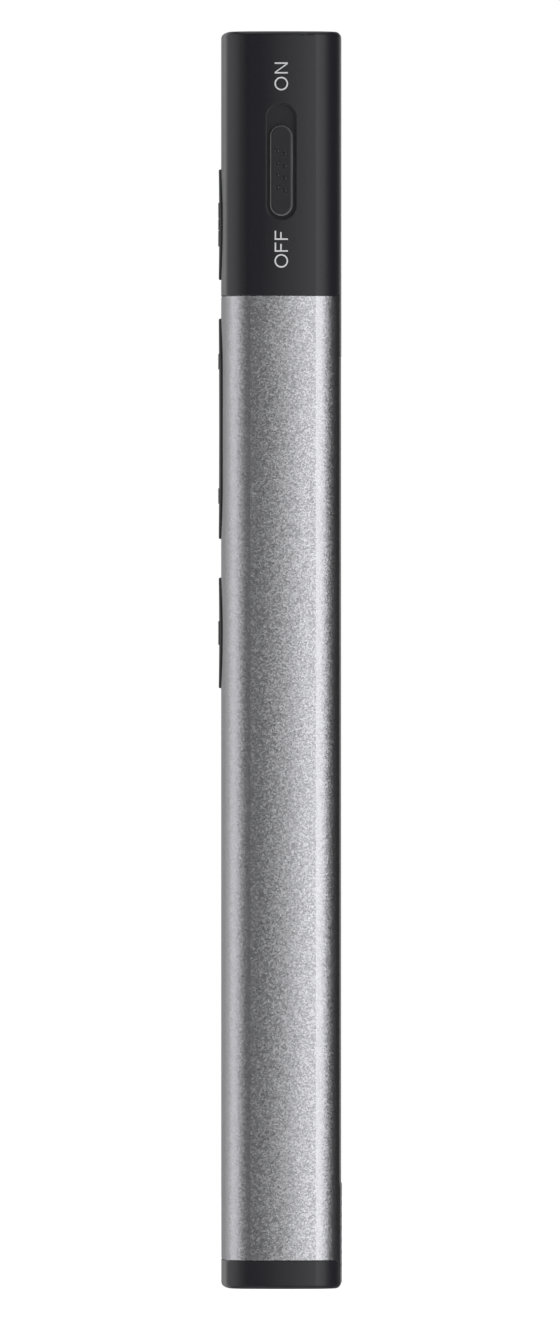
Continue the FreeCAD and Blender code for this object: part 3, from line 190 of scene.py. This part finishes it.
# --- Circuit board -----------------------------------------------------------------------------
# A 0.8 mm glass-epoxy board with matt green resist. The copper tracks show through it as paler
# lines, and the raw edge of the laminate is straw coloured.
track_pitch = 520.0
resist, tree, shader = finish("green_resist_board", (0.012, 0.070, 0.034), (0.008, 0.045, 0.022), 0.42, 0.36,
                              grains=3000.0, depth=0.000004)
where = place(tree, "TexCoord").outputs["Object"]
second, first = [place(tree, "TexVoronoi", {"Vector": where, "Scale": track_pitch, "Randomness": 0.35},
                       distance="CHEBYCHEV", feature=nearest) for nearest in ("F2", "F1")]
between = place(tree, "Math", {0: second.outputs["Distance"], 1: first.outputs["Distance"]},
                operation="SUBTRACT")
track_mask = place(tree, "MapRange", {"Value": between.outputs["Value"], "From Min": 0.05,
                                      "From Max": 0.09, "To Min": 1.0, "To Max": 0.0})
feed_colour(tree, shader, track_mask.outputs["Result"], (0.030, 0.130, 0.060))
facing = place(tree, "SeparateXYZ", {"Vector": place(tree, "NewGeometry").outputs["True Normal"]})
across = place(tree, "Math", {0: facing.outputs["Y"]}, operation="ABSOLUTE")
raw_edge = place(tree, "Math", {0: across.outputs["Value"], 1: 0.5}, operation="LESS_THAN")
feed_colour(tree, shader, raw_edge.outputs["Value"], (0.42, 0.36, 0.17))
coat(resist, "circuit_board")

# --- Solder joints -----------------------------------------------------------------------------
# The three legs of the power switch go through the board, and each ends in a small bright cone
# of solder on its front.
board_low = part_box("circuit_board")[0]
switch_low, switch_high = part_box("power_switch_body")
leg_inset = 0.0021
solder_radius = 0.00062
solder_shine = finish("bright_solder", (0.80, 0.80, 0.79), (0.66, 0.66, 0.66), 0.24, 0.2, grains=9000.0,
                      depth=0.000003, metal=1.0)[0]


def pick(test):
    """Selects, in edit mode, the vertices of the active mesh that pass the test, and nothing else."""
    bpy.ops.object.mode_set(mode="OBJECT")
    mesh = bpy.context.object.data
    for part in (mesh.vertices, mesh.edges, mesh.polygons):
        for item in part:
            item.select = False
    for vertex in mesh.vertices:
        vertex.select = test(vertex.co)
    for edge in mesh.edges:
        edge.select = all(mesh.vertices[i].select for i in edge.vertices)
    for face in mesh.polygons:
        face.select = all(mesh.vertices[i].select for i in face.vertices)
    bpy.ops.object.mode_set(mode="EDIT")


def begin(add, name, **size):
    """Adds a primitive with nothing else selected, and opens it for editing."""
    if bpy.context.mode != "OBJECT":
        bpy.ops.object.mode_set(mode="OBJECT")
    bpy.ops.object.select_all(action="DESELECT")
    add(**size)
    piece = bpy.context.object
    piece.name = piece.data.name = name
    bpy.ops.object.transform_apply(location=True, rotation=True, scale=True)
    bpy.ops.object.mode_set(mode="EDIT")
    bpy.ops.mesh.select_mode(type="VERT")
    return piece


def close_up(piece, material, body, angle=30.0):
    """Merges, faces outward, shades and hangs a finished piece on its body."""
    bpy.ops.object.mode_set(mode="EDIT")
    bpy.ops.mesh.select_all(action="SELECT")
    bpy.ops.mesh.remove_doubles(threshold=1e-7)
    bpy.ops.mesh.normals_make_consistent(inside=False)
    bpy.ops.object.mode_set(mode="OBJECT")
    bpy.ops.object.shade_smooth_by_angle(angle=math.radians(angle))
    piece.data.materials.clear()
    piece.data.materials.append(material)
    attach(piece, body)
    return piece


def solder_joint(name, x, z):
    """One cone, drawn out of a disc on the board's front in four narrowing steps."""
    front = board_low.y
    joint = begin(bpy.ops.mesh.primitive_circle_add, name, vertices=20, radius=solder_radius,
                  fill_type="NGON", location=(x, front + 0.00002, z), rotation=(math.radians(90), 0, 0))
    for reach, width in ((0.00008, 0.86), (0.00010, 0.66), (0.00012, 0.58), (0.00010, 0.7)):
        bpy.ops.mesh.extrude_region_move(TRANSFORM_OT_translate={"value": (0, -reach, 0)})
        bpy.ops.transform.resize(value=(width, 1.0, width), center_override=(x, front, z))
    return close_up(joint, solder_shine, "housing", 60.0)


for number, z in enumerate((switch_low.z + leg_inset, (switch_low.z + switch_high.z) / 2,
                            switch_high.z - leg_inset)):
    solder_joint(f"switch_solder_{number + 1}", (switch_low.x + switch_high.x) / 2, z)

# --- Parts on the board ------------------------------------------------------------------------
# The radio chip and the coil of the booster are black epoxy, the aerial and the small passives
# are ceramic with tinned ends, and the crystal sits in a nickel can.
epoxy = finish("chip_epoxy", (0.026, 0.026, 0.028), (0.018, 0.018, 0.020), 0.5, 0.42, grains=7000.0,
               depth=0.000004)[0]
coat(epoxy, "radio_chip", "boost_coil")
ceramic, tree, shader = finish("tinned_ceramic", (0.30, 0.25, 0.19), (0.22, 0.18, 0.14), 0.38, 0.34,
                               grains=5000.0, depth=0.000003)
where = place(tree, "TexCoord").outputs["Object"]
steps = place(tree, "TexVoronoi", {"Vector": where, "Scale": 420.0})
tinned = place(tree, "Math", {0: steps.outputs["Distance"], 1: 0.62}, operation="GREATER_THAN")
feed_colour(tree, shader, tinned.outputs["Value"], (0.62, 0.62, 0.60))
coat(ceramic, "chip_antenna", "board_passives")

# --- Sprung and plated metal -------------------------------------------------------------------
# The switch domes, the crystal can, the slide switch's shell and the cell contacts are thin
# spring steel with dull nickel plating, drawn along the strip it was rolled as.
nickel, tree, shader = finish("nickel_plate", (0.66, 0.64, 0.60), (0.52, 0.50, 0.47), 0.3, 0.24,
                              grains=5000.0, depth=0.000003, metal=1.0)
where = place(tree, "TexCoord").outputs["Object"]
rolled = place(tree, "Mapping", {"Vector": where, "Scale": (1.0, 1.0, 0.06)})
lines = place(tree, "TexNoise", {"Vector": rolled.outputs["Vector"], "Scale": 5000.0, "Detail": 2.0})
line_mask = place(tree, "MapRange", {"Value": lines.outputs["Fac"], "From Min": 0.45, "From Max": 0.7,
                                     "To Max": 0.5})
feed_colour(tree, shader, line_mask.outputs["Result"], (0.44, 0.42, 0.39))
coat(nickel, "laser_switch_dome", "page_up_switch_dome", "page_down_switch_dome", "blank_switch_dome",
     "power_switch_body", "crystal", "bridge_contact_plate", "bridge_contact_spring",
     "positive_contact_plate", "negative_contact_plate", "negative_contact_spring")

# --- Screws ------------------------------------------------------------------------------------
# Small cross-head screws in blackened steel hold the board to the chassis and the tail cap to
# the foot. The black wears to steel on the edges of the head.
blackened, tree, shader = finish("blackened_steel", (0.055, 0.055, 0.060), (0.030, 0.030, 0.034), 0.36, 0.28,
                                 grains=6000.0, depth=0.000003, metal=0.85)
rubbed = use_effect(tree, handling_effect, Patches_per_Metre=1400.0)
thin_rub = place(tree, "Math", {0: rubbed["Mask"], 1: 0.35}, operation="MULTIPLY")
feed_colour(tree, shader, thin_rub.outputs["Value"], (0.20, 0.19, 0.19))
coat(blackened, "board_screws", "tail_screws")

# --- Laser -------------------------------------------------------------------------------------
# A turned brass barrel holds the diode at its foot and a moulded lens at its mouth. Two thin
# insulated leads run down from the diode to the board.
brass, tree, shader = finish("turned_brass", (0.72, 0.52, 0.24), (0.58, 0.41, 0.18), 0.28, 0.22,
                             grains=5000.0, metal=1.0)
where = place(tree, "TexCoord").outputs["Object"]
turned = place(tree, "Mapping", {"Vector": where, "Scale": (0.02, 0.02, 1.0)})
rings = place(tree, "TexNoise", {"Vector": turned.outputs["Vector"], "Scale": 9000.0, "Detail": 1.0})
cut = place(tree, "Bump", {"Height": rings.outputs["Fac"], "Distance": 0.000003})
tree.links.new(cut.outputs["Normal"], shader.inputs["Normal"])
coat(brass, "laser_barrel", "laser_diode")

lens, tree, shader = finish("clear_acrylic", (0.98, 0.99, 1.0), (0.93, 0.95, 0.97), 0.06, 0.03, grains=900.0)
shader.inputs["Transmission Weight"].default_value = 1.0
shader.inputs["IOR"].default_value = 1.49
coat(lens, "laser_lens", "laser_window")

lead, tree, shader = finish("lead_insulation", (0.36, 0.020, 0.016), (0.28, 0.014, 0.012), 0.4, 0.34,
                            grains=3000.0, depth=0.000003)
where = place(tree, "SeparateXYZ", {"Vector": place(tree, "TexCoord").outputs["Object"]})
return_lead = place(tree, "Math", {0: where.outputs["X"], 1: 0.0}, operation="LESS_THAN")
feed_colour(tree, shader, return_lead.outputs["Value"], (0.015, 0.015, 0.016))
coat(lead, "laser_leads")

# --- Status light ------------------------------------------------------------------------------
# A small clear diode on the board shines into a clear acrylic pipe, whose end is flush with the
# front of the head cap. It is unlit here, and slightly milky.
milky, tree, shader = finish("milky_acrylic", (0.86, 0.88, 0.88), (0.70, 0.73, 0.74), 0.16, 0.1,
                             grains=1500.0)
shader.inputs["Transmission Weight"].default_value = 0.55
shader.inputs["IOR"].default_value = 1.49
coat(milky, "status_led", "led_light_pipe")

# --- Head cap, tail cap and back cover ---------------------------------------------------------
# The two end caps and the long battery cover are moulded in black ABS with a very fine
# spark-eroded skin, which fingers polish a little along the sides.
satin_black, tree, shader = finish("satin_black_abs", (0.015, 0.015, 0.020), (0.011, 0.011, 0.015), 0.32,
                                   0.29, grains=9000.0, depth=0.000004)
shader.inputs["IOR"].default_value = 1.5
shader.inputs["Sheen Weight"].default_value = 0.25
shader.inputs["Sheen Roughness"].default_value = 0.3
coat(satin_black, "head_cap", "tail_cap", "battery_cover", "usb_receiver_head")

# --- Laser bezel -------------------------------------------------------------------------------
# A spun ring of grey anodised aluminium pressed into the laser end, round the window.
spun, tree, shader = finish("spun_ring", (0.42, 0.42, 0.44), (0.33, 0.33, 0.35), 0.26, 0.22, grains=6000.0,
                            depth=0.000002, metal=1.0)
where = place(tree, "TexCoord").outputs["Object"]
bezel_low, bezel_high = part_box("laser_bezel")
centred = place(tree, "Mapping", {"Vector": where, "Location": (0.0, -(bezel_low.y + bezel_high.y) / 2, 0.0)})
turning = place(tree, "TexWave", {"Vector": centred.outputs["Vector"], "Scale": 2600.0, "Distortion": 0.4},
                wave_type="RINGS", rings_direction="Z")
ring_mask = place(tree, "Math", {0: turning.outputs["Fac"], 1: 0.3}, operation="MULTIPLY")
feed_colour(tree, shader, ring_mask.outputs["Value"], (0.52, 0.52, 0.54))
coat(spun, "laser_bezel")

# --- Keys --------------------------------------------------------------------------------------
# The three keys are moulded silicone rubber with raised symbols. Their skin is matt, a little
# blacker than the caps, and polished on the high spots by thumbs.
silicone = finish("matt_silicone", (0.020, 0.020, 0.022), (0.013, 0.013, 0.014), 0.56, 0.42, grains=5000.0,
                  depth=0.000005)[0]
coat(silicone, "laser_key", "page_rocker", "blank_key")

# --- Power slider ------------------------------------------------------------------------------
# The knob is moulded in the caps' plastic. Its rounded rim carries a painted highlight, a paler colour
# standing in for the light it catches, and is made smoother and shinier. Its grip is two staggered columns of
# small domes.
knob_black, tree, shader = finish("knob_black_abs", (0.015, 0.015, 0.019), (0.011, 0.011, 0.015), 0.40, 0.36,
                                  grains=9000.0, depth=0.000002)
knob_low, knob_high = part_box("slider_knob")
dome_rise = 0.00015
above_the_flat = 0.000004
facing = place(tree, "SeparateXYZ", {"Vector": place(tree, "NewGeometry").outputs["Normal"]})
rounded = place(tree, "MapRange", {"Value": facing.outputs["X"], "From Min": 0.5, "From Max": 0.97,
                                   "To Min": 1.0, "To Max": 0.0})
where = place(tree, "SeparateXYZ", {"Vector": place(tree, "TexCoord").outputs["Object"]})
on_dome = place(tree, "Math", {0: where.outputs["X"], 1: knob_high.x - dome_rise + above_the_flat},
                operation="GREATER_THAN")
rim_painted_highlight_and_polish = place(tree, "Math", {0: rounded.outputs["Result"], 1: on_dome.outputs["Value"]},
                   operation="SUBTRACT", use_clamp=True)
# Painted highlight: the rounded rim is coloured paler to stand for the light it catches, and its roughness is
# lowered as well.
feed_colour(tree, shader, rim_painted_highlight_and_polish.outputs["Value"], (0.17, 0.17, 0.175))
feed_roughness(tree, shader, rim_painted_highlight_and_polish.outputs["Value"], 0.2)
feed_roughness(tree, shader, on_dome.outputs["Value"], 0.24)
coat(knob_black, "slider_knob")

# --- ON and OFF --------------------------------------------------------------------------------
# The two switch positions are pad-printed beside the recess in one thin coat of light grey ink.
# The words read up the body, with their feet towards the back.
cap_height = 0.00145
ink_stroke = 0.00016
ink_film = 0.000012
print_plane = 0.0145
ink = finish("pale_grey_ink", (0.70, 0.70, 0.71), (0.63, 0.63, 0.64), 0.5, 0.42, grains=7000.0)[0]


def spot(along, up):
    """A place on the print: along the word is up the body, and the top of a letter faces front."""
    return (print_plane, cap_height / 2 - up, along)


def corner_at(along, up, reach=0.00002):
    """A test for the vertices at one corner of a letter."""
    y, z = spot(along, up)[1:]
    return lambda co: abs(co.y - y) < reach and abs(co.z - z) < reach


def any_corner(*corners):
    tests = [corner_at(*corner) for corner in corners]
    return lambda co: any(test(co) for test in tests)


def grow(along=0.0, up=0.0):
    """Draws the chosen edge of a letter out into more of its stroke."""
    bpy.ops.mesh.extrude_edges_move(TRANSFORM_OT_translate={"value": (0, -up, along)})


def first_patch(name, along, up, width, high):
    """One flat patch of ink, from which a letter is drawn out."""
    patch = begin(bpy.ops.mesh.primitive_plane_add, name, size=1.0,
                  location=spot(along + width / 2, up + high / 2), rotation=(0, math.radians(90), 0))
    bpy.ops.transform.resize(value=(1.0, high, width), center_override=spot(along + width / 2, up + high / 2))
    return patch


def letter_f(name, along, arm):
    middle = cap_height * 0.47
    s = ink_stroke
    letter = first_patch(name, along, 0.0, s, middle)
    for low, rise in ((middle, s), (middle + s, cap_height - middle - 2 * s), (cap_height - s, s)):
        pick(any_corner((along, low), (along + s, low)))
        grow(up=rise)
    pick(any_corner((along + s, middle), (along + s, middle + s)))
    grow(along=arm * 0.86 - s)
    pick(any_corner((along + s, cap_height - s), (along + s, cap_height)))
    grow(along=arm - s)
    return letter


def letter_n(name, along, width):
    s = ink_stroke
    slant = 0.00021
    letter = first_patch(name, along, 0.0, s, cap_height - slant)
    pick(any_corner((along, cap_height - slant), (along + s, cap_height - slant)))
    grow(up=slant)
    pick(any_corner((along + s, cap_height - slant), (along + s, cap_height)))
    grow(along=width - 2 * s, up=slant - cap_height)
    pick(any_corner((along + width - s, 0.0), (along + width - s, slant)))
    grow(along=s)
    pick(any_corner((along + width - s, slant), (along + width, slant)))
    grow(up=cap_height - slant)
    return letter


def letter_o(name, along):
    outer = cap_height / 2 + 0.00002
    letter = begin(bpy.ops.mesh.primitive_circle_add, name, vertices=56, radius=outer, fill_type="NOTHING",
                   location=spot(along + outer, cap_height / 2), rotation=(0, math.radians(90), 0))
    bpy.ops.mesh.select_all(action="SELECT")
    bpy.ops.mesh.extrude_edges_move()
    bpy.ops.transform.resize(value=[(outer - ink_stroke) / outer] * 3,
                             center_override=spot(along + outer, cap_height / 2))
    return letter


def print_word(name, letters):
    """Joins the letters, lays them on the side of the cap and gives the ink its thickness."""
    bpy.ops.object.mode_set(mode="OBJECT")
    bpy.ops.object.select_all(action="DESELECT")
    for letter in letters:
        letter.select_set(True)
    word = letters[0]
    bpy.context.view_layer.objects.active = word
    bpy.ops.object.join()
    word.name = word.data.name = name
    bpy.ops.object.mode_set(mode="EDIT")
    bpy.ops.mesh.select_all(action="SELECT")
    bpy.ops.mesh.remove_doubles(threshold=1e-7)
    bpy.ops.mesh.subdivide(number_cuts=1)
    bpy.ops.object.mode_set(mode="OBJECT")
    laid = word.modifiers.new("laid_on_cap", "SHRINKWRAP")
    laid.target = nodes["head_cap"]
    laid.wrap_method = "PROJECT"
    laid.use_project_x = True
    laid.use_project_y = laid.use_project_z = False
    laid.use_negative_direction = True
    laid.use_positive_direction = False
    laid.offset = ink_film
    bpy.ops.object.modifier_apply(modifier=laid.name)
    film = word.modifiers.new("ink_film", "SOLIDIFY")
    film.thickness = 2 * ink_film
    film.offset = 0.0
    bpy.ops.object.modifier_apply(modifier=film.name)
    return close_up(word, ink, "housing", 40.0)


half_travel = 0.00099
recess_middle = (knob_low.z + knob_high.z) / 2 + half_travel
on_start = recess_middle + 0.0078
off_start = recess_middle - 0.01165
n_step, n_width = 0.00185, 0.00122
f_steps, f_width = (0.00175, 0.00305), 0.0010
print_word("on_print", [letter_o("on_print", on_start), letter_n("on_n", on_start + n_step, n_width)])
print_word("off_print", [letter_o("off_print", off_start)]
           + [letter_f(f"off_f_{turn + 1}", off_start + step, f_width) for turn, step in enumerate(f_steps)])

# --- Cells -------------------------------------------------------------------------------------
# Two AAA cells lie side by side, one each way up. Each has a black sleeve with a copper band at
# its positive end, and bare nickel-plated steel shows at both ends.
band_depth, bare_at_top, bare_at_foot = 0.0125, 0.0014, 0.0006
jacket, tree, shader = finish("cell_jacket", (0.030, 0.030, 0.034), (0.022, 0.022, 0.025), 0.3, 0.24,
                              grains=5000.0, depth=0.000002)
where = place(tree, "SeparateXYZ", {"Vector": place(tree, "TexCoord").outputs["Object"]})
right_side = place(tree, "Math", {0: where.outputs["X"], 1: 0.0}, operation="GREATER_THAN")
left_low, left_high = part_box("battery_cell_left")
right_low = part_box("battery_cell_right")[0]
from_left = place(tree, "Math", {0: left_high.z, 1: where.outputs["Z"]}, operation="SUBTRACT")
from_right = place(tree, "Math", {0: where.outputs["Z"], 1: right_low.z}, operation="SUBTRACT")
depth_in = place(tree, "Mix", {"Factor": right_side.outputs["Value"], "A": from_left.outputs["Value"],
                               "B": from_right.outputs["Value"]}).outputs["Result"]
band = place(tree, "Math", {0: depth_in, 1: band_depth}, operation="LESS_THAN")
feed_colour(tree, shader, band.outputs["Value"], (0.42, 0.17, 0.060))
length = left_high.z - left_low.z
bare_top = place(tree, "Math", {0: depth_in, 1: bare_at_top}, operation="LESS_THAN")
bare_foot = place(tree, "Math", {0: depth_in, 1: length - bare_at_foot}, operation="GREATER_THAN")
bare = place(tree, "Math", {0: bare_top.outputs["Value"], 1: bare_foot.outputs["Value"]},
             operation="MAXIMUM")
feed_colour(tree, shader, bare.outputs["Value"], (0.70, 0.68, 0.65))
metal_part = place(tree, "Math", {0: bare.outputs["Value"], 1: 1.0}, operation="MULTIPLY")
tree.links.new(metal_part.outputs["Value"], shader.inputs["Metallic"])
shader.inputs["Coat Weight"].default_value = 0.4
coat(jacket, "battery_cell_left", "battery_cell_right")

# --- USB receiver ------------------------------------------------------------------------------
# The receiver's plug is folded from bright nickel-plated sheet, with four gold-plated contacts
# on its nylon tongue.
plug_plate, tree, shader = finish("plug_plate", (0.74, 0.73, 0.71), (0.60, 0.59, 0.57), 0.22, 0.18,
                                  grains=6000.0, depth=0.000002, metal=1.0)
scuffs = use_effect(tree, handling_effect, Patches_per_Metre=700.0)
feed_roughness(tree, shader, scuffs["Mask"], 0.34)
coat(plug_plate, "usb_receiver_plug")

tongue_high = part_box("usb_receiver_tongue")[1]
contact_width, contact_length, contact_thick, contact_sunk = 0.0011, 0.0074, 0.00012, 0.00004
gold = finish("contact_gold", (0.86, 0.62, 0.25), (0.76, 0.53, 0.20), 0.2, 0.16, grains=8000.0,
              depth=0.000002, metal=1.0)[0]
for number, x in enumerate((-0.0035, -0.0012, 0.0012, 0.0035)):
    middle = (x, tongue_high.y, tongue_high.z - 0.0042)
    strip = begin(bpy.ops.mesh.primitive_plane_add, f"receiver_contact_{number + 1}", size=1.0,
                  location=middle, rotation=(math.radians(-90), 0, 0))
    bpy.ops.transform.resize(value=(contact_width, 1.0, contact_length), center_override=middle)
    bpy.ops.mesh.extrude_region_move(TRANSFORM_OT_translate={"value": (0, contact_thick, 0)})
    bpy.ops.transform.resize(value=(0.8, 1.0, 0.96), center_override=middle)
    pick(lambda co: True)
    bpy.ops.transform.translate(value=(0, -contact_sunk, 0))
    bpy.ops.mesh.edge_face_add()
    close_up(strip, gold, "housing")

# --- Foam pad ----------------------------------------------------------------------------------
# A strip of black open-cell foam is stuck inside the back cover and presses the cells down.
foam = finish("open_cell_foam", (0.040, 0.040, 0.042), (0.010, 0.010, 0.011), 0.92, 0.88, grains=2600.0,
              depth=0.000080)[0]
coat(foam, "cover_foam_pad")

# --- Floor, light and camera -------------------------------------------------------------------
# White studio paper under the upright body, nine tall soft boxes in a ring, one box above and
# one below, and a long lens level with the middle of the body.
top = design_box[1].z
bpy.ops.object.select_all(action="DESELECT")
paper_radius = 0.45
bpy.ops.mesh.primitive_circle_add(vertices=96, radius=paper_radius, fill_type="NGON", location=(0, 0, 0))
floor = bpy.context.object
floor.name = floor.data.name = "paper_floor"
paper, tree, shader = finish("studio_paper", (0.80, 0.80, 0.80), (0.78, 0.78, 0.78), 0.9, 0.9, grains=300.0)
shader.inputs["Emission Color"].default_value = (1.0, 1.0, 1.0, 1.0)
shader.inputs["Emission Strength"].default_value = 0.93
floor.data.materials.append(paper)
floor.visible_glossy = floor.visible_shadow = False

world = bpy.data.worlds.new("studio")
world.use_nodes = True
bpy.context.scene.world = world
tree = world.node_tree
behind = tree.nodes["Background"]
seen = place(tree, "LightPath").outputs["Is Camera Ray"]
level = place(tree, "MapRange", {"Value": seen, "To Min": 0.015, "To Max": 1.0})
behind.inputs["Color"].default_value = (1.0, 1.0, 1.0, 1.0)
tree.links.new(level.outputs["Result"], behind.inputs["Strength"])


light_reach = 0.6


def soft_box(name, bearing, spread, brightness, high=1.0, raised=0.0):
    """A soft box facing the body. Its bearing is in degrees from the switch side, positive towards the
    back. Its spread is how wide it looks from the body, and raised tips it up overhead."""
    width = 2 * light_reach * math.tan(math.radians(spread / 2))
    light = bpy.data.lights.new(name, "AREA")
    light.shape = "RECTANGLE"
    light.size, light.size_y = width, high
    light.energy = brightness * math.pi * width * high
    box = bpy.data.objects.new(name, light)
    bpy.context.scene.collection.objects.link(box)
    turn, tip = math.radians(bearing), math.radians(raised)
    box.location = (light_reach * math.cos(turn) * math.cos(tip),
                    light_reach * math.sin(turn) * math.cos(tip), top / 2 + light_reach * math.sin(tip))
    box.rotation_euler = (math.radians(90) - tip, 0.0, turn + math.radians(90))
    box.visible_camera = False


soft_box("key_box", 28.0, 12.0, 2.05)
soft_box("key_fill", 48.0, 28.0, 1.17)
soft_box("back_corner_box", 72.0, 20.0, 0.27)
soft_box("switch_side_box", 9.0, 25.0, 0.63)
soft_box("dim_box", -22.0, 38.0, 0.05)
soft_box("front_corner_box", -54.0, 24.0, 0.35)
soft_box("front_box", -90.0, 48.0, 0.84)
soft_box("far_front_box", -138.0, 48.0, 0.42)
soft_box("far_side_box", 180.0, 30.0, 0.12)
soft_box("over_box", 180.0, 60.0, 1.05, high=0.7, raised=85.0)
soft_box("under_box", 180.0, 60.0, 0.5, high=0.7, raised=-85.0)

field = top * 1.0490
lens_reach = 2.7
lens_aside = -0.00014
side = -design_box[0].x
camera_data = bpy.data.cameras.new("side_camera")
camera_data.sensor_width = 36.0
camera_data.lens = camera_data.sensor_width * lens_reach / field
camera_data.clip_start, camera_data.clip_end = 0.1, 20.0
camera = bpy.data.objects.new("side_camera", camera_data)
bpy.context.scene.collection.objects.link(camera)
camera.location = (side + lens_reach, lens_aside, top / 2)
camera.rotation_euler = (math.radians(90), 0.0, math.radians(90))
bpy.context.scene.camera = camera
bpy.context.scene.view_settings.view_transform = "Standard"
